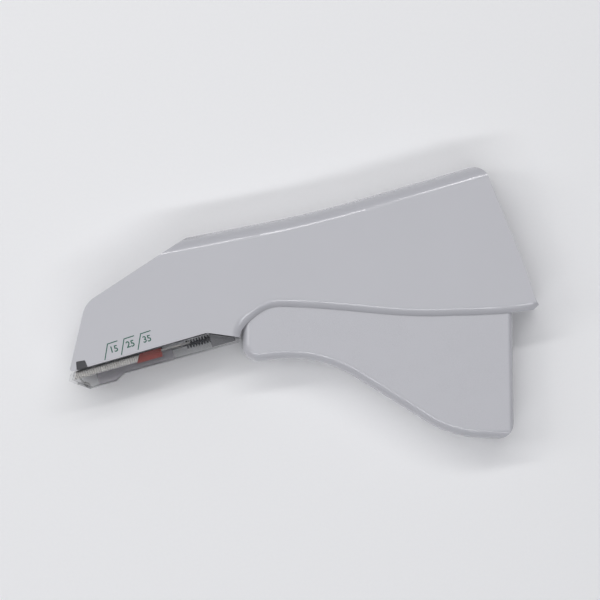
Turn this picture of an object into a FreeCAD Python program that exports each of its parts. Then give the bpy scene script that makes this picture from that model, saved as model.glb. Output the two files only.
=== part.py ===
"""A disposable skin stapler, lying on its side.

Two white moulded casing halves hold a clear staple cartridge at the nose and a trigger under the hand grip.
Squeezing the trigger turns it about the pivot pin, and the pin at the front of its arm drives the former
blade down over the anvil, which closes one staple. A sprung follower pushes the staples along the anvil plate.

Frame: the origin is on the trigger's pivot axis, at the flat side that the stapler lies on. X runs from the
nose to the heel of the grip, Y from the trigger to the back of the grip, and Z across the casing. Millimetres.
Outline corners are (x, y, radius).
"""

import FreeCAD
import Part
import math
import os

Vector = FreeCAD.Vector
Z_AXIS = Vector(0, 0, 1)

# Main sizes, from the pivot
GRIP_END = 120.75            # back to the heel
BACK_HEIGHT = 48.85          # up to the top corner of the back
TRIGGER_DEPTH = 48.0         # down to the trigger's toe
FAR = 200.0                  # past everything, for cuts that run right through

# Casing
CASE_WALL = 1.8
FRONT_WALL = 1.2             # thinner in front of the former
BACK_EDGE_ROUND = 5.5        # along the back of the grip, in the palm
BELLY_EDGE_ROUND = 4.0       # along the lower edge, over the trigger
PARTING_GAP = 0.1            # fine line between the two halves
RIM_REACH = 6.0              # how far each side of the heel the rim is levelled
NOSE_FOOT = (-44.01, -24.25, 0.8)
BROW = (-38.44, -0.12, 9.0)
SHOULDER = (-3.2, 22.95, 2.5)
SADDLE = (40.5, 31.4, 400.0)
BACK_TOP = (GRIP_END - 19.85, BACK_HEIGHT, 5.5)
HEEL = (GRIP_END, -0.35, 0.8)
BELLY = (GRIP_END - 34.75, -5.6, 170.0)
THROAT = (16.5, 1.9, 12.0)
THROAT_FOOT = (16.5, -12.1, 0.45)
WINDOW_PEAK = (4.2, -10.4, 3.0)
CASE_RIBS = ((22.0, 19.0), (78.0, 24.0), (GRIP_END - 16.75, 30.0))    # x, and y of the lower end
RIB_WIDTH = 1.4
CASE_RIB_DEPTH = 4.0
JOINING_PINS = ((-17.0, 7.0), (46.0, 27.0), (GRIP_END - 27.75, BACK_HEIGHT - 9.35))
JOINING_RADIUS = 1.3
JOINING_BOSS = 2.9
JOINING_REACH = 5.0

# Staples and the magazine
WIRE = 0.58
STAPLE_COUNT = 35
STAPLE_SPAN = 14.2           # over the crown
STAPLE_LEG = 3.2             # over the leg, crown wire included
STAPLE_SIDE_PLAY = 0.3       # from a staple's leg to the cover
FORMED_SPAN = 6.9            # over a closed staple
TRACK_ANGLE = 15.7           # the magazine's slope to the X axis
DRIVE_ANGLE = 77.0           # the former's direction, and the lean of the staples
STATION = (-41.64, -24.21)   # centre of the first staple's crown

# Clear cartridge cover
COVER_WALL = 1.2
COVER_PLAY = 0.1             # to the casing around it
TONGUE_HEIGHT = 4.7          # what stands inside the casing, above the crowns' centres
TONGUE_START = 7.0
TONGUE_END = 45.0
NOSE_TIP = (-44.75, -27.7, 0.5)
CHIN_FRONT = (-36.9, -30.6, 1.0)
CHIN_BACK = (-27.3, -28.0, 1.5)
CHIN_STEP = (-24.85, -25.4, 1.5)
TAIL_FOOT = (15.6, -14.2, 0.6)
TAIL_TOP = (15.95, -12.14, 0.3)
EXIT_DEPTH = 0.9             # the open underside, behind the blade's middle
SUPPORT_START = 6.2
SUPPORT_END = 34.0
SUPPORT_INNER = 2.2
SUPPORT_OUTER = 3.4

# Anvil plate and top guide
PLATE_THICKNESS = 0.6
PLATE_PLAY = 0.05
PLATE_LENGTH = 41.0
ANVIL_LENGTH = 3.0
NARROW_SLOT = (4.2, 1.8)     # start along the track, and width
WIDE_SLOT = (16.0, 3.4)
PLATE_TAB = (35.0, 38.0)
GUIDE_THICKNESS = 0.8
GUIDE_END = 47.0
GUIDE_TABS = ((11.0, 14.0), (39.0, 42.0))
TAB_SUNK = 0.3               # the tabs end below the cover's outside

# Nose frame
FRAME_SHEET = 0.6
FRAME_TOP = 8.0
FRAME_BACK = 2.6
FRAME_FOOT = (0.7, 2.15)     # above the station, at the front and at the back
EAR = ((0.15, 0.85, 0), (3.45, 2.68, 0), (2.05, 4.65, 0.3), (-0.7, 3.5, 0.3))
EAR_SUNK = 0.25
EAR_PLAY = 0.1
EAR_DROP = 1.0               # how far the ear's slot runs out below it

# Former and its drive
BLADE_THICKNESS = 0.5
BLADE_REST = 1.7             # the blade's foot above the crown's centre
BLADE_TOP = 19.2
BLADE_NOTCH_DEPTH = 4.6
BLOCK_LENGTH = 7.8
BLOCK_INSET = 0.7            # from the blade's edge to the block's side
BLOCK_UPPER_LIP = 1.6
BLOCK_LOWER_LIP = 4.0
BLOCK_FRONT = 1.0            # left in front of the pin's slot
RIVET_RADIUS = 0.8
RIVET_HEAD = 1.4
RIVET_HEAD_HEIGHT = 0.5
RIVET_SPREAD = 4.5
RIVET_LENGTH = 4.0
RAIL_LOW = 8.8
RAIL_HIGH = 18.0
RAIL_PLAY = 0.3              # beside the block
RUNNING_PLAY = 0.1

# Trigger
TRIGGER_SIDE_PLAY = 0.4
TRIGGER_WALL = 2.2
FINGER_EDGE_ROUND = 3.6
TRIGGER_BACK_ROUND = 1.8
TRIGGER_HEAD = (16.3, -21.3, 6.0)
TRIGGER_WAIST = (43.5, -18.1, 45.0)
TRIGGER_FLARE = (GRIP_END - 30.45, 0.7 - TRIGGER_DEPTH, 38.0)
TRIGGER_TOE = (GRIP_END - 8.85, -TRIGGER_DEPTH, 6.0)
TRIGGER_HEEL = (GRIP_END - 9.55, 3.0, 5.0)
TRIGGER_SHELF = (22.0, 3.0, 1.0)
TRIGGER_BROW = (16.3, -4.0, 1.0)
TRIGGER_RIBS = (40.0, 58.0, 76.0, 94.0)
NECK_HALF_WIDTH = 4.5
ARM_HALF_WIDTH = 3.0
ARM_EYE = 3.2
HUB_RADIUS = 6.0
PIVOT_RADIUS = 2.0
PIVOT_PLAY = 0.06
PIVOT_SKIN = 1.0             # casing left over the pin's end
PIVOT_BOSS = 4.5
DRIVE_PIN_RADIUS = 1.5
DRIVE_PIN_REST = (4.2, 19.2)    # its centre behind the blade, and above the station
PIN_CENTRING = 0.04          # evens out the pin's play in its slot over the stroke
FIT = 0.02                   # a pressed or seated face

# Return spring, a bent strip
STRIP = 0.6
STRIP_HALF_WIDTH = 3.5
LOOP = (30.0, 13.5)
LOOP_RADIUS = 3.1
POST_PLAY = 0.3
LOWER_FOOT = (58.0, 0.6)
UPPER_FOOT = (64.0, 25.0)
FOOT_PAD = 2.0               # half the width of the post that the upper foot bears on

# Follower
FOLLOWER_LENGTH = 7.7
FOLLOWER_TOP = 0.25
FOLLOWER_DEPTH = 2.9
KEEL_LENGTH = 3.0
KEEL_HALF_WIDTH = 0.8
ROD_RADIUS = 0.5
ROD_DROP = 1.3               # below the crowns' centres
ROD_END = 53.0
COLLAR_PLACE = 39.4
COLLAR_LENGTH = 0.6
SPRING_OUTER = 1.5
SPRING_WIRE = 0.4
SPRING_TURNS = 7.5
COIL_SIDES = 14              # straight runs in each turn
PLUG_START = 48.2
PLUG_END = 56.4
PLUG_HEIGHTS = (0.4, -3.1)   # at its front and its back
TRACK_FLOOR = -4.5

# Ejector leaf, as distances back from the nose's tip along the floor, and up from its outside
EJECTOR_SHEET = 0.3
EJECTOR_HALF_WIDTH = 2.0
EJECTOR_FOOT = 7.6
EJECTOR_BEND = 4.4
EJECTOR_TIP = (2.5, 2.84)
EJECTOR_RIVET = 6.2
EJECTOR_RIVET_RADIUS = 0.5
EJECTOR_RIVET_HEAD = 0.9

COVER_INNER = STAPLE_SPAN / 2 + STAPLE_SIDE_PLAY      # half widths from here on
COVER_OUTER = COVER_INNER + COVER_WALL
CASE_INSIDE = COVER_OUTER + COVER_PLAY
CASE_MID = CASE_INSIDE + CASE_WALL
CASE_WIDTH = 2 * CASE_MID                       # from one flat side to the other
BLADE_HALF_WIDTH = STAPLE_SPAN / 2 + RUNNING_PLAY
BLOCK_HALF_WIDTH = BLADE_HALF_WIDTH - BLOCK_INSET
RAIL_REACH = BLOCK_HALF_WIDTH + RAIL_PLAY       # how near the middle the rails come
TAB_HALF_WIDTH = COVER_OUTER - TAB_SUNK
TRIGGER_HALF_WIDTH = CASE_INSIDE - TRIGGER_SIDE_PLAY
ANVIL_HALF_WIDTH = FORMED_SPAN / 2 - WIRE
PLATE_HALF_WIDTH = STAPLE_SPAN / 2 - WIRE - RUNNING_PLAY
NOTCH_HALF_WIDTH = FORMED_SPAN / 2 + RUNNING_PLAY
LEAN = math.radians(DRIVE_ANGLE - TRACK_ANGLE)
PITCH = WIRE / math.sin(LEAN)
CROWN_REACH = WIRE / 2 * (math.sin(LEAN) + math.cos(LEAN))     # of the leaning square wire, off the track
PLATE_TOP = -CROWN_REACH - PLATE_PLAY
PLATE_FOOT = PLATE_TOP - PLATE_THICKNESS
GUIDE_FOOT = CROWN_REACH + RUNNING_PLAY
FOLLOWER_FRONT = (STAPLE_COUNT - 0.5) * PITCH + PLATE_PLAY
WEB_BACK = -BLADE_THICKNESS / 2 - RUNNING_PLAY
WEB_FRONT = WEB_BACK - FRAME_SHEET
FRAME_HALF_WIDTH = CASE_INSIDE - RUNNING_PLAY
RIVET_HEIGHT = DRIVE_PIN_REST[1] - DRIVE_PIN_RADIUS - BLOCK_LOWER_LIP / 2 - RUNNING_PLAY

CASE_OUTLINE = (NOSE_FOOT, BROW, SHOULDER, SADDLE, BACK_TOP, HEEL, BELLY, THROAT, THROAT_FOOT, WINDOW_PEAK)
CASE_WALLS = (FRONT_WALL, CASE_WALL, CASE_WALL, CASE_WALL, CASE_WALL, -8, -8, -8, -8, -8)
COVER_OUTLINE = (NOSE_FOOT, WINDOW_PEAK, TAIL_TOP, TAIL_FOOT, CHIN_STEP, CHIN_BACK, CHIN_FRONT, NOSE_TIP)
COVER_WALLS = (-8, -8, COVER_WALL, COVER_WALL, COVER_WALL, COVER_WALL, COVER_WALL, -4)
GRIP_OUTLINE = (
    TRIGGER_BROW, TRIGGER_SHELF, TRIGGER_HEEL, TRIGGER_TOE, TRIGGER_FLARE, TRIGGER_WAIST, TRIGGER_HEAD,
)
GRIP_WALLS = (TRIGGER_WALL, -8, TRIGGER_WALL, TRIGGER_WALL, TRIGGER_WALL, TRIGGER_WALL, TRIGGER_WALL)


class Slant:
    """A frame turned by an angle in the XY plane. Its origin is on the casing's middle plane."""

    def __init__(self, origin, degrees):
        turn = math.radians(degrees)
        self.origin = Vector(origin[0], origin[1], CASE_MID)
        self.along = Vector(math.cos(turn), math.sin(turn), 0)
        self.up = Vector(-math.sin(turn), math.cos(turn), 0)

    def at(self, along, up, across=0.0):
        """The point at these distances; across is from the casing's middle."""
        return self.origin + self.along * along + self.up * up + Z_AXIS * across


GROUND = Slant((0, 0), 0)
TRACK = Slant(STATION, TRACK_ANGLE)             # along the magazine, and up away from the skin
DRIVE = Slant(STATION, DRIVE_ANGLE - 90)        # back from the blade, and up along its stroke
CHIN_ANGLE = math.degrees(math.atan2(CHIN_FRONT[1] - NOSE_TIP[1], CHIN_FRONT[0] - NOSE_TIP[0]))
FLOOR = Slant(NOSE_TIP, CHIN_ANGLE)             # along the nose's underside, and up into the cover


def rounded_edges(frame, corners, across, closed=True):
    """Lines through (along, up, radius) corners, with an arc of that radius at each corner inside the run."""
    points = [frame.at(corner[0], corner[1], across) for corner in corners]
    count = len(corners)
    runs = []
    for index, corner in enumerate(corners):
        here = points[index]
        at_end = not closed and index in (0, count - 1)
        if corner[2] == 0 or at_end:
            runs.append((here, None, here))
            continue
        back = (points[index - 1] - here).normalize()
        onward = (points[(index + 1) % count] - here).normalize()
        half = back.getAngle(onward) / 2
        reach = corner[2] / math.tan(half)
        inward = (back + onward).normalize()
        middle = here + inward * (corner[2] / math.sin(half) - corner[2])
        runs.append((here + back * reach, middle, here + onward * reach))
    edges = []
    for index, (start, middle, finish) in enumerate(runs):
        if middle is not None:
            edges.append(Part.Arc(start, middle, finish).toShape())
        if closed or index < count - 1:
            following = runs[(index + 1) % count][0]
            edges.append(Part.makeLine(finish, following))
    return edges


def slab(frame, corners, low, high):
    """A plate with this outline, between two distances from the casing's middle."""
    outline = Part.Wire(rounded_edges(frame, corners, low))
    return Part.Face(outline).extrude(Z_AXIS * (high - low))


def bar(frame, along, up, half_width, low=None):
    """A box between two distances along and two up, either side of the middle or from low to half_width."""
    corners = [(along[0], up[0], 0), (along[1], up[0], 0), (along[1], up[1], 0), (along[0], up[1], 0)]
    return slab(frame, corners, -half_width if low is None else low, half_width)


def moved_outline(corners, walls):
    """The outline moved inward by the wall on each side, which starts at the corner of the same place."""
    points = [Vector(corner[0], corner[1], 0) for corner in corners]
    count = len(points)
    area = sum(points[i - 1].x * points[i].y - points[i].x * points[i - 1].y for i in range(count))
    turn = 1 if area > 0 else -1
    lines = []
    for index in range(count):
        heading = (points[(index + 1) % count] - points[index]).normalize()
        inward = Vector(-heading.y, heading.x, 0) * turn
        lines.append((points[index] + inward * walls[index], heading, inward))
    moved = []
    for index in range(count):
        start, heading, inward = lines[index - 1]
        other, other_heading, other_inward = lines[index]
        share = (other - start).dot(other_inward) / heading.dot(other_inward)
        place = start + heading * share
        hollow_corner = other_heading.dot(inward) < 0
        change = (walls[index - 1] + walls[index]) / 2
        radius = corners[index][2] + (change if hollow_corner else -change)
        moved.append((place.x, place.y, max(radius, 0)))
    return moved


def cylinder(centre, direction, radius, length):
    """A rod of this length from its first end's centre."""
    return Part.makeCylinder(radius, length, centre, direction)


def cross_pin(frame, place, radius, half_length):
    """A rod across the casing, centred on its middle."""
    return cylinder(frame.at(place[0], place[1], -half_length), Z_AXIS, radius, 2 * half_length)


def mirrored(shape):
    """The same shape on the other side of the casing's middle."""
    return shape.mirror(Vector(0, 0, CASE_MID), Z_AXIS)


def swept(path, face):
    """The solids left by carrying a face along lines and arcs."""
    solids = []
    for edge in path:
        curve = edge.Curve
        if isinstance(curve, Part.Circle):
            angle = math.degrees(edge.LastParameter - edge.FirstParameter)
            solids.append(face.revolve(curve.Center, curve.Axis, angle))
            face = face.rotated(curve.Center, curve.Axis, angle)
        else:
            step = edge.lastVertex().Point - edge.firstVertex().Point
            solids.append(face.extrude(step))
            face = face.translated(step)
    return solids


def side_rounding(corners, side, radius, half_width, bevel=False):
    """What rounds or bevels both flat sides along a run of corners; side 1 has the outside on its left."""
    path = rounded_edges(GROUND, corners, -half_width, closed=False)
    start = GROUND.at(corners[0][0], corners[0][1], -half_width)
    heading = (GROUND.at(corners[1][0], corners[1][1], -half_width) - start).normalize()
    outward = Vector(-heading.y, heading.x, 0) * side
    slope = radius * math.sqrt(0.5)
    centre = start - outward * radius + Z_AXIS * radius
    high = start + Z_AXIS * radius
    low = start - outward * radius
    arc = Part.Arc(high, centre + outward * slope - Z_AXIS * slope, low).toShape()
    edges = [
        Part.makeLine(high, low) if bevel else arc,
        Part.makeLine(low, low - Z_AXIS),
        Part.makeLine(low - Z_AXIS, start + outward - Z_AXIS),
        Part.makeLine(start + outward - Z_AXIS, high + outward),
        Part.makeLine(high + outward, high),
    ]
    cutters = swept(path, Part.Face(Part.Wire(edges)))
    return cutters + [mirrored(cutter) for cutter in cutters]


def beyond(corner, neighbour, distance):
    """A sharp corner that lies this far past a corner, straight on from its neighbour."""
    length = math.hypot(corner[0] - neighbour[0], corner[1] - neighbour[1])
    share = distance / length
    return (corner[0] + (corner[0] - neighbour[0]) * share, corner[1] + (corner[1] - neighbour[1]) * share, 0)


def back_run(outline):
    """The grip's back, run on past both of its ends."""
    return [beyond(outline[2], outline[3], 14), outline[3], beyond(outline[4], outline[3], 14)]


def belly_run(outline):
    """The edge over the trigger and round the throat, run on past both of its ends."""
    return [beyond(outline[5], outline[6], 8), outline[6], outline[7], beyond(outline[8], outline[7], 8)]


def casing_solids():
    """The casing's outside, and the room inside it, which is open below."""
    outside = slab(GROUND, CASE_OUTLINE, -CASE_MID, CASE_MID)
    outside = outside.cut(side_rounding(back_run(CASE_OUTLINE), 1, BACK_EDGE_ROUND, CASE_MID))
    outside = outside.cut(side_rounding(belly_run(CASE_OUTLINE), 1, BELLY_EDGE_ROUND, CASE_MID))
    inside_outline = moved_outline(CASE_OUTLINE, CASE_WALLS)
    inside = slab(GROUND, inside_outline, -CASE_INSIDE, CASE_INSIDE)
    inner_round = BACK_EDGE_ROUND - CASE_WALL
    bevel = inner_round * (2 - math.sqrt(2))
    inside = inside.cut(side_rounding(back_run(inside_outline), 1, bevel, CASE_INSIDE, bevel=True))
    return outside, inside


def rest_pin():
    """The drive pin's centre in the ground frame."""
    point = DRIVE.at(DRIVE_PIN_REST[0], DRIVE_PIN_REST[1])
    return point.x, point.y


def housing_fittings():
    """What stands inside one casing side: boss, ribs, former rails and spring post."""
    low = -CASE_INSIDE
    hub_side = -NECK_HALF_WIDTH - TRIGGER_SIDE_PLAY
    post_radius = LOOP_RADIUS - STRIP / 2 - POST_PLAY
    foot_line = UPPER_FOOT[1] + STRIP / 2 + FIT
    pieces = [
        cylinder(GROUND.at(0, 0, low), Z_AXIS, PIVOT_BOSS, hub_side - low),
        cylinder(GROUND.at(LOOP[0], LOOP[1], low), Z_AXIS, post_radius, -low),
        bar(GROUND, (UPPER_FOOT[0] - FOOT_PAD, UPPER_FOOT[0] + FOOT_PAD), (foot_line, FAR), 0, low),
    ]
    for x, lowest in CASE_RIBS:
        pieces.append(bar(GROUND, (x, x + RIB_WIDTH), (lowest, FAR), low + CASE_RIB_DEPTH, low))
    rail = BLADE_THICKNESS / 2 + RUNNING_PLAY
    for start, finish in ((-4, -rail), (rail, rail + RIB_WIDTH)):
        pieces.append(bar(DRIVE, (start, finish), (RAIL_LOW, RAIL_HIGH), -RAIL_REACH, low))
    for place in JOINING_PINS:
        pieces.append(cylinder(GROUND.at(place[0], place[1], low), Z_AXIS, JOINING_BOSS, -low))
    return pieces


def below_rim():
    """What the end wall over the heel loses, so that it is level with the side wall's rounded rim."""
    slope = (HEEL[1] - BELLY[1]) / (HEEL[0] - BELLY[0])
    rise = BELLY_EDGE_ROUND - math.sqrt(BELLY_EDGE_ROUND ** 2 - (BELLY_EDGE_ROUND - CASE_WALL) ** 2)
    front, back = HEEL[0] - RIM_REACH, HEEL[0] + RIM_REACH
    level = HEEL[1] + rise
    corners = [
        (front, level - slope * RIM_REACH, 0),
        (back, level + slope * RIM_REACH, 0),
        (back, HEEL[1] - RIM_REACH, 0),
        (front, HEEL[1] - RIM_REACH, 0),
    ]
    return slab(GROUND, corners, -CASE_MID, 0)


def housings():
    """The two casing halves, right one first."""
    outside, inside = casing_solids()
    half = bar(GROUND, (-FAR, FAR), (-FAR, FAR), -PARTING_GAP / 2, -CASE_MID - 1).common(outside)
    half = half.cut(inside.cut(housing_fittings()))
    pivot_start = -CASE_MID + PIVOT_SKIN
    half = half.cut(cylinder(GROUND.at(0, 0, pivot_start), Z_AXIS, PIVOT_RADIUS + FIT, CASE_WIDTH))
    ear_slot = moved_outline(EAR, (-EAR_DROP, -EAR_PLAY, -EAR_PLAY, -EAR_PLAY))
    half = half.cut(slab(DRIVE, ear_slot, -CASE_MID - 1, 0))
    half = half.cut(below_rim())
    sockets = []
    pins = []
    for place in JOINING_PINS:
        middle = GROUND.at(place[0], place[1], PARTING_GAP / 2)
        sockets.append(cylinder(middle, -Z_AXIS, JOINING_RADIUS + PLATE_PLAY, JOINING_REACH + 1))
        pins.append(cylinder(middle, -Z_AXIS, JOINING_RADIUS, JOINING_REACH))
    right = half.cut(sockets)
    left = mirrored(half).fuse(pins)
    return right.removeSplitter(), left.removeSplitter()


def inside_cover():
    """The room between the cover's walls, open at the top and the front."""
    return slab(GROUND, moved_outline(COVER_OUTLINE, COVER_WALLS), -COVER_INNER, COVER_INNER)


def cartridge_cover():
    """The clear channel under the casing, with its tongues up inside and the ribs under the anvil plate."""
    top = [(x, y - COVER_PLAY, radius) for x, y, radius in (NOSE_FOOT, WINDOW_PEAK)]
    corners = top + list(COVER_OUTLINE[2:])
    outside = slab(GROUND, corners, -COVER_OUTER, COVER_OUTER)
    outside = outside.fuse(bar(TRACK, (TONGUE_START, TONGUE_END), (0, TONGUE_HEIGHT), COVER_OUTER))
    support = bar(TRACK, (SUPPORT_START, SUPPORT_END), (-12, PLATE_FOOT - FIT), SUPPORT_OUTER, SUPPORT_INNER)
    cover = outside.cut(inside_cover().cut([support, mirrored(support)]))
    cover = cover.cut(bar(DRIVE, (-8, EXIT_DEPTH), (-12, 4), COVER_INNER))
    play = PLATE_PLAY
    slots = [bar(TRACK, (PLATE_TAB[0] - play, PLATE_TAB[1] + play), (PLATE_FOOT - FIT, PLATE_TOP + play), 20)]
    for tab in GUIDE_TABS:
        heights = (GUIDE_FOOT - FIT, GUIDE_FOOT + GUIDE_THICKNESS + play)
        slots.append(bar(TRACK, (tab[0] - play, tab[1] + play), heights, 20))
    cover = cover.cut(slots)
    return cover.cut(ejector_shank(EJECTOR_RIVET_RADIUS + FIT)).removeSplitter()


def anvil_plate():
    """The plate that the staples straddle. Its front is the narrow anvil, and a slot lets the rod through."""
    heights = (PLATE_FOOT, PLATE_TOP)
    plate = bar(TRACK, (ANVIL_LENGTH, PLATE_LENGTH), heights, PLATE_HALF_WIDTH)
    tabs = bar(TRACK, PLATE_TAB, heights, TAB_HALF_WIDTH)
    anvil = bar(TRACK, (-3, ANVIL_LENGTH), heights, ANVIL_HALF_WIDTH)
    anvil = anvil.cut(bar(DRIVE, (-6, -BLADE_THICKNESS / 2), (-9, 9), 20))
    plate = plate.fuse([tabs, anvil])
    for start, width in (NARROW_SLOT, WIDE_SLOT):
        plate = plate.cut(bar(TRACK, (start, PLATE_LENGTH + 1), (-5, 5), width / 2))
    return plate.removeSplitter()


def top_guide():
    """The flat strip that keeps the crowns down, with tabs in the cover's tongues."""
    heights = (GUIDE_FOOT, GUIDE_FOOT + GUIDE_THICKNESS)
    strip = bar(TRACK, (-2, GUIDE_END), heights, COVER_INNER - RUNNING_PLAY)
    strip = strip.cut(bar(DRIVE, (-6, -WEB_BACK), (-9, 9), 20))
    tabs = [bar(TRACK, tab, heights, TAB_HALF_WIDTH) for tab in GUIDE_TABS]
    return strip.fuse(tabs).removeSplitter()


def nose_frame():
    """A bent sheet across the nose with a flange and an ear at each side."""
    low, high = FRAME_FOOT
    top = FRAME_TOP
    side = [(WEB_FRONT, low, 0), (FRAME_BACK, high, 0), (FRAME_BACK, top, 0.8), (WEB_FRONT, top, 0)]
    frame = slab(DRIVE, side, -FRAME_HALF_WIDTH, FRAME_HALF_WIDTH)
    inner = FRAME_HALF_WIDTH - FRAME_SHEET
    frame = frame.cut(bar(DRIVE, (WEB_BACK, 9), (-9, 19), inner))
    ear = slab(DRIVE, EAR, inner, CASE_MID - EAR_SUNK)
    return frame.fuse([ear, mirrored(ear)]).removeSplitter()


def staple(station):
    """One squared wire staple whose crown lies across the track, this many staples behind the first."""
    half = STAPLE_SPAN / 2
    top = WIRE / 2
    foot = top - STAPLE_LEG
    corners = (
        (half, foot), (half, top), (-half, top), (-half, foot),
        (WIRE - half, foot + WIRE / 2), (WIRE - half, -top),
        (half - WIRE, -top), (half - WIRE, foot + WIRE / 2),
    )
    front = TRACK.at(station * PITCH, 0) - DRIVE.along * (WIRE / 2)
    points = [front + Z_AXIS * across + DRIVE.up * up for across, up in corners]
    return Part.Face(Part.makePolygon(points + [points[0]])).extrude(DRIVE.along * WIRE)


def staple_stack():
    return Part.makeCompound([staple(index) for index in range(1, STAPLE_COUNT)])


def ejector_spring():
    """A leaf on the cover's floor that bends up behind the closed staple."""
    low = COVER_WALL + FIT
    high = low + EJECTOR_SHEET
    tip_along, tip_up = EJECTOR_TIP
    corners = [
        (EJECTOR_FOOT, low, 0),
        (EJECTOR_FOOT, high, 0),
        (EJECTOR_BEND + 0.1, high, 0),
        (tip_along + EJECTOR_SHEET, tip_up + 0.1, 0),
        (tip_along, tip_up, 0),
        (EJECTOR_BEND, low, 0),
    ]
    leaf = slab(FLOOR, corners, -EJECTOR_HALF_WIDTH, EJECTOR_HALF_WIDTH)
    return leaf.cut(ejector_shank(EJECTOR_RIVET_RADIUS + FIT))


def ejector_shank(radius):
    """The rivet's shank, or the hole for it, from just inside the cover's outside to the leaf's top."""
    length = COVER_WALL + EJECTOR_SHEET
    return cylinder(FLOOR.at(EJECTOR_RIVET, 2 * FIT), FLOOR.up, radius, length)


def ejector_rivet():
    """Holds the leaf to the floor."""
    top = FLOOR.at(EJECTOR_RIVET, COVER_WALL + EJECTOR_SHEET + 2 * FIT)
    head = cylinder(top, FLOOR.up, EJECTOR_RIVET_HEAD, EJECTOR_SHEET)
    return ejector_shank(EJECTOR_RIVET_RADIUS).fuse(head).removeSplitter()


def magazine_plug():
    """The block at the cartridge's back. The spring stands on it and the rod runs into it."""
    floor = TRACK_FLOOR + FIT
    high, low = PLUG_HEIGHTS
    corners = [(PLUG_START, floor, 0), (PLUG_START, high, 0), (PLUG_END, low, 0), (PLUG_END, floor, 0)]
    plug = slab(TRACK, corners, -COVER_INNER + FIT, COVER_INNER - FIT)
    plug = plug.fuse(cylinder(TRACK.at(PLUG_START, -ROD_DROP), -TRACK.along, ROD_RADIUS + 0.3, 1.5))
    bore = cylinder(TRACK.at(PLUG_START - 2, -ROD_DROP), TRACK.along, ROD_RADIUS + RUNNING_PLAY, 8)
    return plug.cut(bore).removeSplitter()


def pivot_pin():
    return cross_pin(GROUND, (0, 0), PIVOT_RADIUS, CASE_MID - PIVOT_SKIN - FIT)


def tangent_point(point, centre, radius, side):
    """Where the line from a point touches a circle; side picks which of the two."""
    dx = point[0] - centre[0]
    dy = point[1] - centre[1]
    away = math.atan2(dy, dx) + side * math.acos(radius / math.hypot(dx, dy))
    return centre[0] + radius * math.cos(away), centre[1] + radius * math.sin(away)


def return_spring():
    """A strip bent round the casing's post, with one leg on the trigger's rib and one under the casing's."""
    low = tangent_point(LOWER_FOOT, LOOP, LOOP_RADIUS, -1)
    high = tangent_point(UPPER_FOOT, LOOP, LOOP_RADIUS, 1)
    back = (LOOP[0] - LOOP_RADIUS, LOOP[1])
    level = -STRIP_HALF_WIDTH
    low_leg = Part.makeLine(GROUND.at(*LOWER_FOOT, level), GROUND.at(*low, level))
    loop = Part.Arc(GROUND.at(*low, level), GROUND.at(*back, level), GROUND.at(*high, level)).toShape()
    high_leg = Part.makeLine(GROUND.at(*high, level), GROUND.at(*UPPER_FOOT, level))
    outline = Part.Wire([low_leg, loop, high_leg]).makeOffset2D(STRIP / 2, 0, False, False)
    return Part.Face(outline).extrude(Z_AXIS * 2 * STRIP_HALF_WIDTH)


def trigger():
    """The grip, its neck and hub, and the arm with its pin eye, in one moulding."""
    half = TRIGGER_HALF_WIDTH
    grip = slab(GROUND, GRIP_OUTLINE, -half, half)
    finger_edge = [
        (TRIGGER_HEAD[0], 8, 0), TRIGGER_HEAD, TRIGGER_WAIST, TRIGGER_FLARE,
        beyond(TRIGGER_TOE, TRIGGER_FLARE, 9),
    ]
    grip = grip.cut(side_rounding(finger_edge, -1, FINGER_EDGE_ROUND, half))
    back_edge = [beyond(TRIGGER_TOE, TRIGGER_HEEL, 9), beyond(TRIGGER_HEEL, TRIGGER_TOE, 9)]
    grip = grip.cut(side_rounding(back_edge, -1, TRIGGER_BACK_ROUND, half))
    inside = moved_outline(GRIP_OUTLINE, GRIP_WALLS)
    hollow = slab(GROUND, inside, -half + TRIGGER_WALL, half - TRIGGER_WALL)
    rib_top = LOWER_FOOT[1] - STRIP / 2 - FIT
    ribs = [bar(GROUND, (x - RIB_WIDTH / 2, x + RIB_WIDTH / 2), (-60, rib_top), half) for x in TRIGGER_RIBS]
    grip = grip.cut(hollow.cut(ribs))
    tip = rest_pin()
    neck_corners = [
        (0, HUB_RADIUS, 0), (TRIGGER_SHELF[0], TRIGGER_SHELF[1], 0), (TRIGGER_SHELF[0], -14, 0),
        (TRIGGER_BROW[0], -11, 0), (0, -HUB_RADIUS, 0),
    ]
    neck = slab(GROUND, neck_corners, -NECK_HALF_WIDTH, NECK_HALF_WIDTH)
    hub = cross_pin(GROUND, (0, 0), HUB_RADIUS, NECK_HALF_WIDTH)
    length = math.hypot(tip[0], tip[1])
    square_x = -tip[1] / length
    square_y = tip[0] / length
    root = HUB_RADIUS - 0.6
    arm_corners = [
        (square_x * root, square_y * root, 0), (-square_x * root, -square_y * root, 0),
        (tip[0] - square_x * ARM_EYE, tip[1] - square_y * ARM_EYE, 0),
        (tip[0] + square_x * ARM_EYE, tip[1] + square_y * ARM_EYE, 0),
    ]
    arm = slab(GROUND, arm_corners, -ARM_HALF_WIDTH, ARM_HALF_WIDTH)
    eye = cross_pin(GROUND, tip, ARM_EYE, ARM_HALF_WIDTH)
    eye = eye.cut(bar(DRIVE, (-9, BLADE_THICKNESS / 2 + BLOCK_FRONT + 2 * RUNNING_PLAY), (0, 40), 20))
    body = grip.fuse([neck, hub, arm, eye])
    body = body.cut(cross_pin(GROUND, (0, 0), PIVOT_RADIUS + PIVOT_PLAY, CASE_MID))
    return body.cut(cross_pin(GROUND, tip, DRIVE_PIN_RADIUS + FIT, CASE_MID)).removeSplitter()


def drive_pin():
    return cross_pin(GROUND, rest_pin(), DRIVE_PIN_RADIUS, BLOCK_HALF_WIDTH - RUNNING_PLAY)


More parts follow.
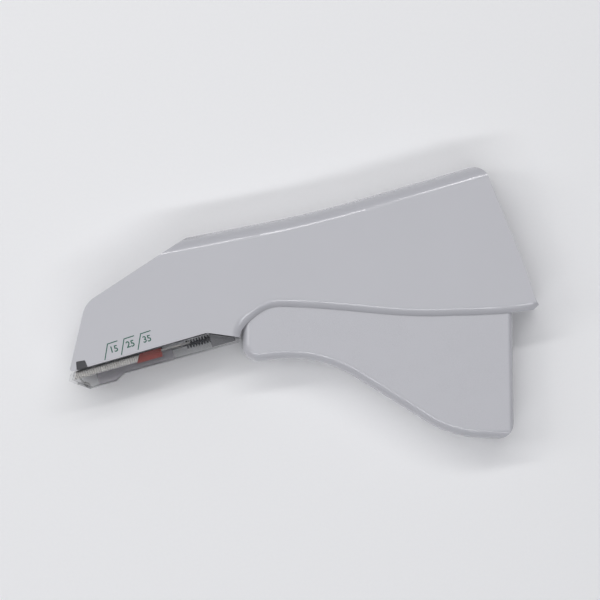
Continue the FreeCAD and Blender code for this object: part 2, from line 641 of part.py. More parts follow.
def former_blade():
    """The flat blade; its notch clears the anvil, and the legs beside it bend the staple."""
    half = BLADE_THICKNESS / 2
    blade = bar(DRIVE, (-half, half), (BLADE_REST, BLADE_TOP), BLADE_HALF_WIDTH)
    notch_top = BLADE_REST + BLADE_NOTCH_DEPTH
    blade = blade.cut(bar(DRIVE, (-1, 1), (0, notch_top), NOTCH_HALF_WIDTH))
    return blade.cut(rivet_shanks(RIVET_RADIUS + FIT))


def rivet_shanks(radius):
    shanks = []
    for across in (-RIVET_SPREAD, RIVET_SPREAD):
        start = DRIVE.at(-BLADE_THICKNESS / 2, RIVET_HEIGHT, across)
        shanks.append(cylinder(start, DRIVE.along, radius, RIVET_LENGTH))
    return shanks


def former_rivets():
    """Two rivets that hold the blade to its driver block."""
    rivets = []
    for shank in rivet_shanks(RIVET_RADIUS):
        across = shank.CenterOfMass.z - CASE_MID
        start = DRIVE.at(-BLADE_THICKNESS / 2, RIVET_HEIGHT, across)
        head = cylinder(start, -DRIVE.along, RIVET_HEAD, RIVET_HEAD_HEIGHT)
        rivets.append(shank.fuse(head).removeSplitter())
    return Part.makeCompound(rivets)


def driver_block():
    """The block behind the blade. The arm's eye runs between its cheeks and the pin in their slots."""
    front = BLADE_THICKNESS / 2 + FIT
    back = front + BLOCK_LENGTH
    slot_middle = DRIVE_PIN_REST[1] - PIN_CENTRING
    slot_half = DRIVE_PIN_RADIUS + RUNNING_PLAY
    low = slot_middle - slot_half - BLOCK_LOWER_LIP
    high = slot_middle + slot_half + BLOCK_UPPER_LIP
    block = bar(DRIVE, (front, back), (low, high), BLOCK_HALF_WIDTH)
    slot_front = DRIVE_PIN_REST[0] - DRIVE_PIN_RADIUS - RUNNING_PLAY
    slot_heights = (slot_middle - slot_half, slot_middle + slot_half)
    block = block.cut(bar(DRIVE, (slot_front, back + 1), slot_heights, CASE_MID))
    passage = bar(DRIVE, (front + BLOCK_FRONT, back + 1), (low - 1, high + 1), ARM_HALF_WIDTH + RUNNING_PLAY)
    block = block.cut(passage)
    return block.cut(rivet_shanks(RIVET_RADIUS + FIT)).removeSplitter()


def staple_follower():
    """The coloured saddle behind the last staple, with a keel in the plate's slot."""
    front = FOLLOWER_FRONT
    back = front + FOLLOWER_LENGTH
    saddle = bar(TRACK, (front - STAPLE_LEG, back), (-FOLLOWER_DEPTH, FOLLOWER_TOP), STAPLE_SPAN / 2)
    saddle = saddle.cut(bar(TRACK, (0, back + 1), (-9, PLATE_TOP + FIT), PLATE_HALF_WIDTH + RUNNING_PLAY))
    keel = bar(TRACK, (back - KEEL_LENGTH, back), (-ROD_DROP - 0.8, 0), KEEL_HALF_WIDTH)
    saddle = saddle.fuse(keel)
    lean = Slant((TRACK.at(front, 0).x, TRACK.at(front, 0).y), DRIVE_ANGLE - 90)
    saddle = saddle.cut(bar(lean, (-9, 0), (-9, 9), CASE_MID))
    start = TRACK.at(back - KEEL_LENGTH + 1, -ROD_DROP)
    rod = cylinder(start, TRACK.along, ROD_RADIUS + FIT, FOLLOWER_LENGTH)
    return saddle.cut(rod).removeSplitter()


def follower_rod():
    start = FOLLOWER_FRONT + FOLLOWER_LENGTH - KEEL_LENGTH + 1 + FIT
    return cylinder(TRACK.at(start, -ROD_DROP), TRACK.along, ROD_RADIUS, ROD_END - start)


def spring_collar():
    """The ring on the rod that the spring pushes."""
    start = TRACK.at(COLLAR_PLACE, -ROD_DROP)
    ring = cylinder(start, TRACK.along, SPRING_OUTER, COLLAR_LENGTH)
    return ring.cut(cylinder(start, TRACK.along, ROD_RADIUS + FIT, COLLAR_LENGTH))


def follower_spring():
    """The coil between the plug and the collar."""
    start = COLLAR_PLACE + COLLAR_LENGTH + SPRING_WIRE / 2 + FIT
    length = PLUG_START - start - SPRING_WIRE / 2 - FIT
    half = SPRING_WIRE / 2
    radius = SPRING_OUTER - half
    steps = round(SPRING_TURNS * COIL_SIDES)
    sections = []
    for step in range(steps + 1):
        turn = 2 * math.pi * step / COIL_SIDES
        outward = TRACK.up * math.cos(turn) + Z_AXIS * math.sin(turn)
        centre = TRACK.at(start + length * step / steps, -ROD_DROP) + outward * radius
        corners = []
        for out, on in ((-half, -half), (half, -half), (half, half), (-half, half)):
            corners.append(centre + outward * out + TRACK.along * on)
        sections.append(Part.makePolygon(corners + [corners[0]]))
    return Part.makeLoft(sections, True, True)


def main():
    os.makedirs("parts", exist_ok=True)
    right_housing, left_housing = housings()
    nodes = {
        "left_housing": left_housing,
        "right_housing": right_housing,
        "cartridge_cover": cartridge_cover(),
        "anvil_plate": anvil_plate(),
        "top_guide": top_guide(),
        "nose_frame": nose_frame(),
        "first_staple": staple(0),
        "staple_stack": staple_stack(),
        "ejector_spring": ejector_spring(),
        "ejector_rivet": ejector_rivet(),
        "magazine_plug": magazine_plug(),
        "pivot_pin": pivot_pin(),
        "return_spring": return_spring(),
        "trigger": trigger(),
        "drive_pin": drive_pin(),
        "former_blade": former_blade(),
        "former_rivets": former_rivets(),
        "driver_block": driver_block(),
        "staple_follower": staple_follower(),
        "follower_rod": follower_rod(),
        "spring_collar": spring_collar(),
        "follower_spring": follower_spring(),
    }
    for name, shape in nodes.items():
        shape.exportStep(f"parts/{name}.step")


if __name__ == "__main__":
    main()
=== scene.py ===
"""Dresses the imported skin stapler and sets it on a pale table, seen from straight above."""

import bmesh
import bpy
import math
from mathutils import Matrix, Vector


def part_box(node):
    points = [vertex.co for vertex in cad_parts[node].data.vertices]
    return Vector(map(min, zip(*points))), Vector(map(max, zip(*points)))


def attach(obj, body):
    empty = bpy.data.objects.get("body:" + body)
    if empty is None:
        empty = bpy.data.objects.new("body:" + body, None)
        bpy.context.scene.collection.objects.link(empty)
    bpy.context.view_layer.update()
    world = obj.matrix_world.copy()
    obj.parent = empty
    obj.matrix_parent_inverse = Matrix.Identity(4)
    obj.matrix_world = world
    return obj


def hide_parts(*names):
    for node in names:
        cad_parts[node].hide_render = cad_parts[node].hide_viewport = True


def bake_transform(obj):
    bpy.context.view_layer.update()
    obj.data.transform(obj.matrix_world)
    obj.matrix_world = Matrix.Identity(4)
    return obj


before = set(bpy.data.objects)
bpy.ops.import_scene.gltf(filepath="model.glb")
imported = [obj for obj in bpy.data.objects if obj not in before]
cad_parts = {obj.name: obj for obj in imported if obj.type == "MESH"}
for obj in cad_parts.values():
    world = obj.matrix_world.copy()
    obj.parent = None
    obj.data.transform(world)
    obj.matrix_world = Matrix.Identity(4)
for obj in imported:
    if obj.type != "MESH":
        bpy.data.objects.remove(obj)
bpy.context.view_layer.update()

MM = 0.001
TOUCH = 0.01 * MM                       # as near as this counts as on a level

# Camera
PHOTO_SIDE = 600                        # pixels
SCALE = 0.35 * MM                       # for one pixel
PIVOT_PIXEL = (195, 303)                # where the photograph has the origin
CAMERA_DISTANCE = 1.1                   # metres above the casing's upper side
SENSOR = 36.0

# Table and light
TABLE_REACH = 3
TABLE_MIDDLE = (0.04, 0, 0)
LIGHT_TARGET = (0.037, 0.001, 0.0)
LIGHTS = (                              # name, place, width and depth in metres, watts, colour
    ("Back strip", (-0.1, 0.62, 1.0), (1.5, 0.09), 5.0, (1, 1, 1)),
    ("Front strip", (0.1, -0.62, 1.0), (1.5, 0.09), 3.6, (0.97, 0.98, 1.0)),
    ("Left box", (-0.75, 0.1, 0.75), (0.3, 0.6), 1.6, (1, 1, 1)),
    ("Top box", (0.04, 0.0, 1.3), (0.9, 0.9), 2.2, (1, 1, 1)),
)
ROOM_COLOUR = (0.93, 0.94, 1.0, 1)
ROOM_STRENGTH = 0.2

# Meshes
MERGE_GAP = 2e-6                        # metres
FLAT_ANGLE = math.radians(0.4)          # less than this between two faces is one face
SMOOTH_ANGLE = math.radians(35)         # an edge below this is shaded smooth
CORNER_ANGLE = math.radians(50)         # an edge above this can be rounded
ROUND_STEPS = 3
UPRIGHT = 0.2                           # the normal of an upright wall rises less than this

# Casing
CASE_MID = 10.5 * MM
CASE_SIDE = 21.0 * MM
RIM_ROUND = 0.4 * MM

# Casing's lower edge, brought down to the photograph's line
HEEL_X = 120.75 * MM
HEEL_EASE = 2.0 * MM                    # the drop runs out over this at the heel
BELLY_DROP = 0.95 * MM
BELLY_FADE = (2.5 * MM, 11.0 * MM)      # heights over which the drop ends
BELLY_CUT = 2.5 * MM                    # from one slice to the next
THROAT_DROP = 2.6 * MM
THROAT_RANGE = (10.0 * MM, 21.0 * MM)   # from no drop to the most
THROAT_LENGTH = 14.0 * MM               # the throat's own share fades over this
THROAT_FOOT = (-12.0 * MM, -6.0 * MM)   # heights over which the drop begins
HEEL_DROP = 1.4 * MM
HEEL_RANGE = (88.0 * MM, 117.0 * MM)    # from none of the heel's share to all of it

# Staples
STATION = Vector((-41.64 * MM, -24.21 * MM, CASE_MID))      # crown's middle in the first one
TRACK_ANGLE = math.radians(15.7)
DRIVE_ANGLE = math.radians(77.0)
STAPLE_COUNT = 35
STAPLE_SPAN = 14.2 * MM
STAPLE_LEG = 3.2 * MM
STAPLE_BEND = 0.55 * MM
STAPLE_POINT = 0.35                     # share of the wire's thickness left at its point
WIRE = 0.58 * MM
WIRE_SIDES = 12
BEND_STEPS = 5
ANVIL_EDGE = 2.9 * MM                   # off the middle plane
BEND_EDGE = 4.4 * MM

# Coil behind the follower
ROD_DROP = 1.3 * MM
COIL_START = 40.1 * MM
COIL_END = 48.1 * MM
COIL_RADIUS = 1.3 * MM
COIL_WIRE = 0.42 * MM
COIL_SIDES = 8
COIL_TURNS = 7.5
COIL_STEPS = 26                         # for one turn

# Clear cover
COVER_WALL = 1.2 * MM
COVER_DRAFT = 0.45 * MM
COVER_ROUND = 0.45 * MM
COVER_RIBS = (2.15 * MM, 3.45 * MM)     # off the middle plane

# Return spring
STRIP = 0.6 * MM
STRIP_WIDTH = 7.0 * MM
STRIP_STEPS = 30                        # for each leg
LOOP = (30.0 * MM, 13.5 * MM)
LOOP_RADIUS = 3.1 * MM
LOOP_STEPS = 24
LOWER_FOOT = (58.0 * MM, 0.6 * MM)
UPPER_FOOT = (64.0 * MM, 25.0 * MM)

# Printed gauge
GAUGE_START = (10.95 * MM, 1.5 * MM)    # along the track and up from it, from the first staple
GAUGE_STEP = (6.06 * MM, 0.15 * MM)     # the same, from one mark to the next
GAUGE_STEM = (5.5 * MM, math.radians(80.9))     # length and direction
GAUGE_ARM = (3.5 * MM, math.radians(18.4))
GAUGE_LINE = 0.34 * MM
NUMERAL_SIZE = 3.15 * MM                # font size, for numerals 2.25 mm high
NUMERAL_WEIGHT = 0.05 * MM
NUMERAL_OFFSET = Vector((3.1 * MM, 3.6 * MM, 0))
NUMERAL_TILT = math.radians(15.5)
INK = 0.02 * MM
ARM_INK = 1.3 * INK                     # so the arm lies over the stem at the knee

Z_AXIS = Vector((0, 0, 1))
TRACK = Vector((math.cos(TRACK_ANGLE), math.sin(TRACK_ANGLE), 0))
TRACK_UP = Vector((-math.sin(TRACK_ANGLE), math.cos(TRACK_ANGLE), 0))
DRIVE_UP = Vector((math.cos(DRIVE_ANGLE), math.sin(DRIVE_ANGLE), 0))
PITCH = WIRE / math.sin(DRIVE_ANGLE - TRACK_ANGLE)


class Value:
    """A socket in a material, so that sums on shader values read as Python."""

    def __init__(self, paint, socket):
        self.paint = paint
        self.socket = socket

    def join(self, operation, first, second):
        return self.paint.node("ShaderNodeMath", {"operation": operation}, {0: first, 1: second})

    def __add__(self, other):
        return self.join("ADD", self, other)

    def __radd__(self, other):
        return self.join("ADD", other, self)

    def __mul__(self, other):
        return self.join("MULTIPLY", self, other)

    def __rmul__(self, other):
        return self.join("MULTIPLY", other, self)

    def __pow__(self, other):
        return self.join("POWER", self, other)


class Paint:
    """One material and the nodes that make it."""

    def __init__(self, name):
        self.material = bpy.data.materials.new(name)
        self.material.use_nodes = True
        self.tree = self.material.node_tree
        self.shader = self.tree.nodes["Principled BSDF"]

    def node(self, kind, settings=None, inputs=None, output=0):
        """A node of a type, with its settings, then the values or links of its sockets."""
        made = self.tree.nodes.new(kind)
        for key, value in (settings or {}).items():
            setattr(made, key, value)
        for key, value in (inputs or {}).items():
            self.feed(made.inputs[key], value)
        return Value(self, made.outputs[output])

    def feed(self, socket, value):
        if isinstance(value, Value):
            self.tree.links.new(value.socket, socket)
        else:
            socket.default_value = value

    def set(self, **sockets):
        """Feeds the shader's sockets, by their names with underscores for spaces."""
        for key, value in sockets.items():
            self.feed(self.shader.inputs[key.replace("_", " ")], value)

    def place(self, stretch, turn):
        """Object coordinates, turned about Z and stretched."""
        coordinates = self.node("ShaderNodeTexCoord", output="Object")
        turned = {"Vector": coordinates, "Rotation": (0, 0, -turn)}
        flat = self.node("ShaderNodeMapping", inputs=turned)
        return self.node("ShaderNodeMapping", inputs={"Vector": flat, "Scale": stretch})

    def noise(self, scale, detail=2.0, stretch=(1, 1, 1), turn=0.0):
        """Noise from 0 to 1; scale is in cells to the metre."""
        inputs = {"Vector": self.place(stretch, turn), "Scale": scale, "Detail": detail}
        return self.node("ShaderNodeTexNoise", inputs=inputs, output="Fac")

    def blend(self, amount, first, second):
        """A mix of two colours, by the numbers of its colour sockets, whose names repeat."""
        inputs = {0: amount, 6: first, 7: second}
        return self.node("ShaderNodeMix", {"data_type": "RGBA"}, inputs, output=2)

    def bump(self, height, distance, strength):
        inputs = {"Height": height, "Distance": distance, "Strength": strength}
        self.set(Normal=self.node("ShaderNodeBump", inputs=inputs))


def darker(tint, share):
    """A colour at a share of its brightness."""
    return tuple(channel * share for channel in tint[:3]) + (1,)


def white_moulding(name, tint, roughness):
    """Satin white plastic with a fine eroded grain and slow flow marks."""
    paint = Paint(name)
    flow = paint.noise(38, detail=3)
    cloudy = paint.noise(120)
    paint.set(Base_Color=paint.blend(flow * 0.7 + cloudy * 0.3, darker(tint, 0.955), tint))
    grain = paint.noise(5200)
    paint.set(Roughness=roughness - 0.05 + flow * 0.06 + grain * 0.05)
    paint.bump(grain * 0.6 + cloudy * 0.4, 0.035 * MM, 0.55)
    paint.set(Coat_Weight=0.7, Coat_Roughness=0.09)
    return paint.material


def clear_moulding():
    """Clear plastic, which mirrors more the flatter it is seen, and lets the rest through. Its mirror is
    tinted dark, so that its steep edges show as dark lines: painted shade.
    """
    paint = Paint("Clear cover plastic")
    tilt = paint.node("ShaderNodeLayerWeight", inputs={"Blend": 0.5}, output="Facing")
    haze = paint.noise(260, detail=3)
    # dark mirror tint with a random haze: painted shade along the cover's steep edges
    paint.set(Base_Color=paint.blend(haze, (0.10, 0.105, 0.12, 1), (0.20, 0.205, 0.22, 1)))
    paint.set(Alpha=0.045 + haze * 0.03 + 0.9 * tilt ** 3)
    paint.set(Roughness=0.05 + haze * 0.05)
    paint.bump(haze, 0.04 * MM, 0.3)
    paint.set(Metallic=0.9)
    return paint.material


def cover_finish(name, tint, alpha, roughness, metallic):
    """The same plastic where it is frosted, on the ribs, or glossy, whitish and nearly opaque, on the
    rounded edges, where the whitish tint is a painted highlight.
    """
    paint = Paint(name)
    haze = paint.noise(700, detail=3)
    paint.set(Base_Color=paint.blend(haze, darker(tint, 0.8), tint))
    paint.set(Alpha=alpha - 0.05 + haze * 0.1)
    paint.set(Roughness=roughness + haze * 0.06)
    paint.set(Metallic=metallic)
    return paint.material


def steel(name, tint, roughness, turn, metallic=1.0):
    """Sheet or wire steel with fine drawn lines along one direction."""
    paint = Paint(name)
    lines = paint.noise(900, detail=4, stretch=(0.06, 1, 1), turn=turn)
    spots = paint.noise(420, detail=3)
    paint.set(Base_Color=paint.blend(lines * 0.6 + spots * 0.4, darker(tint, 0.72), tint))
    paint.set(Roughness=roughness - 0.08 + lines * 0.12 + spots * 0.06)
    paint.bump(lines, 0.02 * MM, 0.4)
    paint.set(Metallic=metallic)
    return paint.material


def coloured_moulding(name, tint, roughness):
    """Matt coloured plastic with a fine grain."""
    paint = Paint(name)
    grain = paint.noise(3600)
    flow = paint.noise(160, detail=3)
    paint.set(Base_Color=paint.blend(flow, darker(tint, 0.78), tint))
    paint.set(Roughness=roughness + grain * 0.1)
    paint.bump(grain, 0.04 * MM, 0.5)
    return paint.material


def pale_table():
    """Matt pale board with a barely seen fibre."""
    paint = Paint("Pale table")
    fibre = paint.noise(900, detail=3)
    paint.set(Base_Color=paint.blend(fibre, (0.93, 0.93, 0.94, 1), (0.96, 0.96, 0.965, 1)))
    paint.set(Roughness=0.6 + fibre * 0.1)
    return paint.material


def gauge_ink():
    """Pad-printed ink, a little thin in places."""
    paint = Paint("Gauge ink")
    thin = paint.noise(2600)
    paint.set(Base_Color=paint.blend(thin, (0.0, 0.075, 0.045, 1), (0.01, 0.14, 0.09, 1)))
    paint.set(Roughness=0.4 + thin * 0.2)
    return paint.material


CASING_WHITE = white_moulding("Casing white", (0.565, 0.565, 0.60, 1), 0.24)
TRIGGER_WHITE = white_moulding("Trigger white", (0.56, 0.56, 0.595, 1), 0.27)
CLEAR = clear_moulding()
FROSTED = cover_finish("Frosted cover ribs", (0.58, 0.56, 0.60, 1), 0.32, 0.45, 0.0)
# whitish, nearly opaque rounded edges: painted highlight, with real gloss over it
EDGE_GLOSS_AND_PAINTED_HIGHLIGHT = cover_finish("Glossy cover edges with painted highlight", (0.92, 0.92, 0.94, 1), 0.75, 0.12, 0.1)
BRIGHT_STEEL = steel("Bright sheet steel", (0.62, 0.62, 0.61, 1), 0.30, TRACK_ANGLE)
WIRE_STEEL = steel("Staple wire steel", (0.82, 0.80, 0.77, 1), 0.30, TRACK_ANGLE, 0.8)
SPRING_STEEL = steel("Spring strip steel", (0.50, 0.50, 0.50, 1), 0.32, 0.0)
PLATE_STEEL = steel("Anvil plate steel", (0.30, 0.295, 0.29, 1), 0.34, TRACK_ANGLE)
DARK_STEEL = steel("Blackened steel", (0.10, 0.10, 0.107, 1), 0.42, TRACK_ANGLE, 0.8)
GREY_PLASTIC = coloured_moulding("Grey plastic", (0.17, 0.17, 0.18, 1), 0.42)
RED_PLASTIC = coloured_moulding("Follower red plastic", (0.27, 0.033, 0.022, 1), 0.45)
INK_GREEN = gauge_ink()


def finished(bm, name, material, body):
    """An object at the origin from a bmesh, shaded smooth except at its sharp edges."""
    for face in bm.faces:
        face.smooth = True
    for edge in bm.edges:
        edge.smooth = edge.calc_face_angle(0.0) < SMOOTH_ANGLE
    mesh = bpy.data.meshes.new(name)
    bm.to_mesh(mesh)
    bm.free()
    piece = bpy.data.objects.new(name, mesh)
    bpy.context.scene.collection.objects.link(piece)
    mesh.materials.append(material)
    if body:
        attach(piece, body)
    return piece


def even_shading(piece):
    """Keeps the shading of large flat faces even up to their roundings."""
    piece.modifiers.new("Even shading", "WEIGHTED_NORMAL").keep_sharp = True


def joined_copy(node):
    """A CAD node's shape with its loose triangles joined into clean faces."""
    bm = bmesh.new()
    bm.from_mesh(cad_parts[node].data)
    bmesh.ops.remove_doubles(bm, verts=bm.verts, dist=MERGE_GAP)
    bmesh.ops.dissolve_limit(bm, angle_limit=FLAT_ANGLE, verts=bm.verts, edges=bm.edges)
    return bm


def ease(bm, width, chosen):
    """Rounds the sharp edges that a test chooses and gives the rounded faces."""
    edges = []
    for edge in bm.edges:
        if len(edge.link_faces) == 2 and edge.calc_face_angle(0.0) > CORNER_ANGLE:
            if chosen(edge.verts[0].co) and chosen(edge.verts[1].co):
                edges.append(edge)
    return bmesh.ops.bevel(
        bm, geom=edges, offset=width, offset_type="OFFSET", segments=ROUND_STEPS, profile=0.5,
        affect="EDGES", clamp_overlap=True, material=-1,
    )["faces"]


def smooth(value, start, end):
    """0 before the start, 1 past the end, and a smooth rise between them."""
    share = min(max((value - start) / (end - start), 0.0), 1.0)
    return share * share * (3 - 2 * share)


def belly_drop(x):
    """How much lower the casing's edge is than in the solids: most in the throat and before the heel."""
    throat = THROAT_DROP * math.exp(-max(x - THROAT_RANGE[1], 0.0) / THROAT_LENGTH)
    drop = BELLY_DROP + throat + HEEL_DROP * smooth(x, *HEEL_RANGE)
    from_heel = min(max((HEEL_X - x) / HEEL_EASE, 0.0), 1.0)
    return drop * smooth(x, *THROAT_RANGE) * math.sqrt(from_heel)


def lower_belly(bm):
    """Slices the casing across and moves its lower edge down."""
    start = THROAT_RANGE[0]
    for step in range(int((HEEL_X - start) / BELLY_CUT)):
        everything = bm.verts[:] + bm.edges[:] + bm.faces[:]
        place = Vector((start + BELLY_CUT * step, 0, 0))
        bmesh.ops.bisect_plane(bm, geom=everything, dist=TOUCH / 10, plane_co=place, plane_no=(1, 0, 0))
    for vert in bm.verts:
        height = vert.co.y
        share = smooth(height, *THROAT_FOOT) * (1 - smooth(height, *BELLY_FADE))
        vert.co.y -= belly_drop(vert.co.x) * share


def casing_half(node, name):
    """A casing half with its rim slightly rounded."""
    low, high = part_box(node)
    bm = joined_copy(node)
    lower_belly(bm)
    outer = low.z if low.z < TOUCH else high.z
    ease(bm, RIM_ROUND, lambda point: abs(point.z - outer) < TOUCH)
    piece = finished(bm, name, CASING_WHITE, "casing")
    even_shading(piece)
    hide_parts(node)


def trigger_piece():
    """The hollow trigger in clean faces."""
    bm = joined_copy("trigger")
    piece = finished(bm, "squeeze_trigger", TRIGGER_WHITE, "trigger")
    even_shading(piece)
    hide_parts("trigger")


def draft(bm, level):
    """Leans the upright walls that reach a level, as a mould needs, by moving that end inward."""
    for vert in bm.verts:
        if abs(vert.co.z - level) < TOUCH:
            walls = [face.normal for face in vert.link_faces if abs(face.normal.z) < UPRIGHT]
            outward = sum(walls, Vector((0, 0, 0)))
            if outward.length > 0.1:
                vert.co -= outward.normalized() * COVER_DRAFT


def cover_piece():
    """The clear cartridge cover with leaning walls, frosted ribs and rounded outer edges, whose whitish
    finish is a painted highlight.
    """
    low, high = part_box("cartridge_cover")
    bm = joined_copy("cartridge_cover")
    for face in bm.faces:
        if COVER_RIBS[0] < abs(face.calc_center_median().z - CASE_MID) < COVER_RIBS[1]:
            face.material_index = 1
    for level in (high.z, low.z, high.z - COVER_WALL, low.z + COVER_WALL):
        draft(bm, level)
    rounded = ease(bm, COVER_ROUND, lambda point: min(point.z - low.z, high.z - point.z) < TOUCH)
    # the rounded faces take the whitish finish, a painted highlight
    for face in rounded:
        face.material_index = 2
    piece = finished(bm, "clear_cover", CLEAR, "casing")
    even_shading(piece)
    piece.data.materials.append(FROSTED)
    piece.data.materials.append(EDGE_GLOSS_AND_PAINTED_HIGHLIGHT)
    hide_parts("cartridge_cover")


def ring(bm, centre, direction, radius, sides):
    """A circle across a direction; gives its edges."""
    turn = Z_AXIS.rotation_difference(direction).to_matrix().to_4x4()
    made = bmesh.ops.create_circle(
        bm, cap_ends=False, radius=radius, segments=sides, matrix=Matrix.Translation(centre) @ turn,
    )
    return list({edge for vert in made["verts"] for edge in vert.link_edges})


def drawn(bm, edges, step):
    """Draws a ring of edges out by a step and gives the new ring."""
    made = bmesh.ops.extrude_edge_only(bm, edges=edges)["geom"]
    verts = [item for item in made if isinstance(item, bmesh.types.BMVert)]
    bmesh.ops.translate(bm, verts=verts, vec=step)
    new_edges = [item for item in made if isinstance(item, bmesh.types.BMEdge)]
    return [edge for edge in new_edges if all(vert in verts for vert in edge.verts)]


def turned(bm, edges, centre, axis, angle, steps, advance=(0, 0, 0)):
    """Turns a ring of edges about an axis and gives the last ring."""
    geometry = edges + list({vert for edge in edges for vert in edge.verts})
    made = bmesh.ops.spin(
        bm, geom=geometry, cent=centre, axis=axis, dvec=advance, angle=angle, steps=steps,
        use_duplicate=False,
    )["geom_last"]
    return [item for item in made if isinstance(item, bmesh.types.BMEdge)]


def closed(bm, edges):
    """Closes a ring of edges with a face."""
    bmesh.ops.holes_fill(bm, edges=edges, sides=0)


def half_staple(bm, side, station):
    """Half of one staple, from its crown's middle to the point of one leg; gives the first ring."""
    crown = STATION + TRACK * (PITCH * station)
    across = Z_AXIS * side
    half = STAPLE_SPAN / 2 - WIRE / 2
    leg = STAPLE_LEG - WIRE / 2
    half_bend = (BEND_EDGE - ANVIL_EDGE) / 2
    start = ring(bm, crown, across, WIRE / 2, WIRE_SIDES)
    edges = start
    for reach in (ANVIL_EDGE, half_bend, half_bend, half - STAPLE_BEND - BEND_EDGE):
        edges = drawn(bm, edges, across * reach)
    centre = crown + across * (half - STAPLE_BEND) - DRIVE_UP * STAPLE_BEND
    edges = turned(bm, edges, centre, across.cross(-DRIVE_UP), math.pi / 2, BEND_STEPS)
    edges = drawn(bm, edges, -DRIVE_UP * (leg - STAPLE_BEND - WIRE))
    edges = drawn(bm, edges, -DRIVE_UP * WIRE)
    tip = list({vert for edge in edges for vert in edge.verts})
    point = crown + across * (half + WIRE / 4) - DRIVE_UP * leg
    for vert in tip:
        vert.co = point + (vert.co - point) * STAPLE_POINT
    closed(bm, edges)
    return start


def loaded_staples():
    """The row behind the first staple, one piece each. The follower closes it up as staples are used."""
    for station in range(1, STAPLE_COUNT):
        bm = bmesh.new()
        half_staple(bm, 1, station)
        half_staple(bm, -1, station)
        bmesh.ops.remove_doubles(bm, verts=bm.verts, dist=TOUCH / 2)
        bmesh.ops.recalc_face_normals(bm, faces=bm.faces)
        piece = finished(bm, f"loaded_staple_{station:02d}", WIRE_STEEL, None)
        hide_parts("staple_stack")
        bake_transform(piece)


def first_staple():
    """The staple over the anvil, in two halves."""
    for side, name in ((1, "first_staple_left"), (-1, "first_staple_right")):
        bm = bmesh.new()
        closed(bm, half_staple(bm, side, 0))
        bmesh.ops.recalc_face_normals(bm, faces=bm.faces)
        piece = finished(bm, name, WIRE_STEEL, None)
        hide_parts("first_staple")
        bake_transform(piece)


def magazine_coil():
    """The round wire coil between the plug and the rod's collar."""
    bm = bmesh.new()
    start = STATION + TRACK * COIL_START - TRACK_UP * ROD_DROP
    first = start + TRACK_UP * COIL_RADIUS + TRACK * (COIL_WIRE / 2)
    steps = round(COIL_TURNS * COIL_STEPS)
    advance = TRACK * ((COIL_END - COIL_START - COIL_WIRE) / steps)
    edges = ring(bm, first, Z_AXIS, COIL_WIRE / 2, COIL_SIDES)
    last = turned(bm, edges, start, TRACK, 2 * math.pi * COIL_TURNS, steps, advance)
    closed(bm, edges)
    closed(bm, last)
    bmesh.ops.recalc_face_normals(bm, faces=bm.faces)
    piece = finished(bm, "magazine_coil", DARK_STEEL, None)
    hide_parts("follower_spring")
    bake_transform(piece)


def tangent_point(point, side):
    """Where the line from a point touches the spring's loop, as an angle and as a place."""
    dx = point[0] - LOOP[0]
    dy = point[1] - LOOP[1]
    away = math.atan2(dy, dx) + side * math.acos(LOOP_RADIUS / math.hypot(dx, dy))
    x = LOOP[0] + LOOP_RADIUS * math.cos(away)
    y = LOOP[1] + LOOP_RADIUS * math.sin(away)
    return away, Vector((x, y, CASE_MID))


def return_strip():
    """The bent strip that opens the trigger."""
    bm = bmesh.new()
    low_turn, low = tangent_point(LOWER_FOOT, -1)
    high_turn, high = tangent_point(UPPER_FOOT, 1)
    foot = Vector((*LOWER_FOOT, CASE_MID))
    top = Vector((*UPPER_FOOT, CASE_MID))
    centre = Vector((*LOOP, CASE_MID))
    leg = (low - foot) / STRIP_STEPS
    thin = Z_AXIS.cross(leg.normalized()) * (STRIP / 2)
    wide = Z_AXIS * (STRIP_WIDTH / 2)
    corners = (foot + thin + wide, foot + thin - wide, foot - thin - wide, foot - thin + wide)
    verts = [bm.verts.new(corner) for corner in corners]
    edges = [bm.edges.new((verts[i], verts[i - 1])) for i in range(4)]
    bm.faces.new(verts)
    for _ in range(STRIP_STEPS):
        edges = drawn(bm, edges, leg)
    sweep = (high_turn - low_turn) % (2 * math.pi) - 2 * math.pi
    edges = turned(bm, edges, centre, Z_AXIS, sweep, LOOP_STEPS)
    for _ in range(STRIP_STEPS):
        edges = drawn(bm, edges, (top - high) / STRIP_STEPS)
    closed(bm, edges)
    bmesh.ops.recalc_face_normals(bm, faces=bm.faces)
    piece = finished(bm, "return_strip", SPRING_STEEL, None)
    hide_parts("return_spring")
    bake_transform(piece)


def printed(bm, name):
    """Ink on the casing's side."""
    piece = finished(bm, name, INK_GREEN, "casing")


def bar_between(bm, first, second, height):
    """One printed line, a thin box between two points."""
    run = second - first
    turn = Matrix.Rotation(math.atan2(run.y, run.x), 4, "Z")
    size = Matrix.Diagonal((run.length + GAUGE_LINE, GAUGE_LINE, height, 1))
    middle = Matrix.Translation((first + second) / 2)
    bmesh.ops.create_cube(bm, size=1, matrix=middle @ turn @ size)


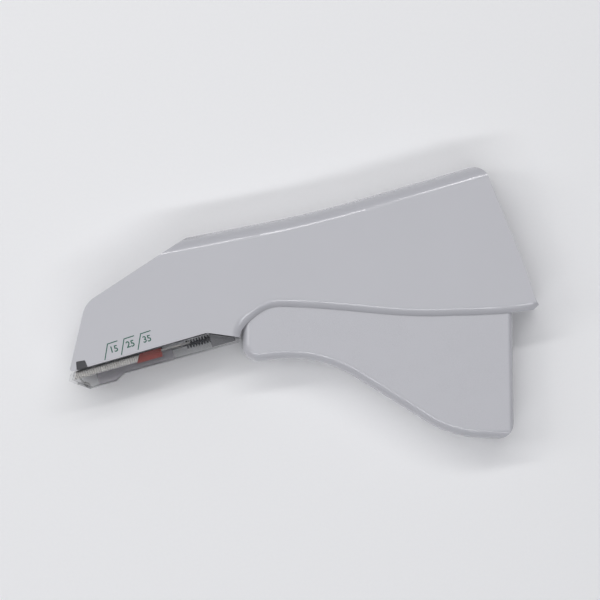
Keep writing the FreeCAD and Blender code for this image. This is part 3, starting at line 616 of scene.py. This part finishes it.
def gauge(count, index):
    """One mark of the staple gauge, with the number of staples left."""
    along = GAUGE_START[0] + GAUGE_STEP[0] * index
    up = GAUGE_START[1] + GAUGE_STEP[1] * index
    foot = STATION + TRACK * along + TRACK_UP * up
    foot.z = CASE_SIDE + INK / 2
    knee = foot + GAUGE_STEM[0] * Vector((math.cos(GAUGE_STEM[1]), math.sin(GAUGE_STEM[1]), 0))
    end = knee + GAUGE_ARM[0] * Vector((math.cos(GAUGE_ARM[1]), math.sin(GAUGE_ARM[1]), 0))
    bm = bmesh.new()
    bar_between(bm, foot, knee, INK)
    bar_between(bm, knee, end, ARM_INK)
    printed(bm, f"gauge_line_{count}")
    text = bpy.data.curves.new(f"numeral_{count}", "FONT")
    text.body = str(count)
    text.size = NUMERAL_SIZE
    text.extrude = INK / 2
    text.offset = NUMERAL_WEIGHT
    text.align_x = "CENTER"
    text.align_y = "CENTER"
    holder = bpy.data.objects.new(f"numeral_{count}", text)
    mesh = bpy.data.meshes.new_from_object(holder)
    bpy.data.objects.remove(holder)
    place = Matrix.Translation(foot + NUMERAL_OFFSET)
    mesh.transform(place @ Matrix.Rotation(NUMERAL_TILT, 4, "Z"))
    bm = bmesh.new()
    bm.from_mesh(mesh)
    printed(bm, f"gauge_number_{count}")


def node_finishes():
    """Materials of the CAD nodes that keep their own shape."""
    finishes = {
        "anvil_plate": PLATE_STEEL, "top_guide": DARK_STEEL, "nose_frame": DARK_STEEL,
        "ejector_spring": SPRING_STEEL, "ejector_rivet": BRIGHT_STEEL, "magazine_plug": GREY_PLASTIC,
        "pivot_pin": BRIGHT_STEEL, "drive_pin": BRIGHT_STEEL, "former_blade": BRIGHT_STEEL,
        "former_rivets": BRIGHT_STEEL, "driver_block": GREY_PLASTIC, "staple_follower": RED_PLASTIC,
        "follower_rod": DARK_STEEL, "spring_collar": DARK_STEEL,
    }
    for node, material in finishes.items():
        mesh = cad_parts[node].data
        mesh.materials.clear()
        mesh.materials.append(material)


def area_light(name, place, size, power, colour):
    """One soft light, turned to the stapler."""
    light = bpy.data.lights.new(name, "AREA")
    light.shape = "RECTANGLE"
    light.size, light.size_y = size
    light.energy = power
    light.color = colour
    holder = bpy.data.objects.new(name, light)
    holder.location = place
    way = Vector(LIGHT_TARGET) - Vector(place)
    holder.rotation_euler = way.to_track_quat("-Z", "Y").to_euler()
    bpy.context.scene.collection.objects.link(holder)


def studio():
    """A pale table and soft light from above."""
    bm = bmesh.new()
    place = Matrix.Translation(TABLE_MIDDLE)
    bmesh.ops.create_grid(bm, x_segments=1, y_segments=1, size=TABLE_REACH, matrix=place)
    floor = finished(bm, "table", pale_table(), None)
    for light in LIGHTS:
        area_light(*light)
    world = bpy.data.worlds.new("Soft room")
    world.use_nodes = True
    room = world.node_tree.nodes["Background"]
    room.inputs["Color"].default_value = ROOM_COLOUR
    room.inputs["Strength"].default_value = ROOM_STRENGTH
    bpy.context.scene.world = world


def camera():
    """Straight above, with the photograph's scale at the casing's upper side."""
    lens = bpy.data.cameras.new("Camera")
    lens.sensor_width = SENSOR
    lens.lens = SENSOR * CAMERA_DISTANCE / (PHOTO_SIDE * SCALE)
    lens.clip_end = 20
    holder = bpy.data.objects.new("Camera", lens)
    x = (PHOTO_SIDE / 2 - PIVOT_PIXEL[0]) * SCALE
    y = (PIVOT_PIXEL[1] - PHOTO_SIDE / 2) * SCALE
    holder.location = (x, y, CASE_SIDE + CAMERA_DISTANCE)
    bpy.context.scene.collection.objects.link(holder)
    bpy.context.scene.camera = holder


camera()
studio()
casing_half("left_housing", "left_casing")
casing_half("right_housing", "right_casing")
trigger_piece()
cover_piece()
first_staple()
loaded_staples()
magazine_coil()
return_strip()
for index, count in enumerate((15, 25, 35)):
    gauge(count, index)
node_finishes()
bpy.context.scene.view_settings.view_transform = "Standard"
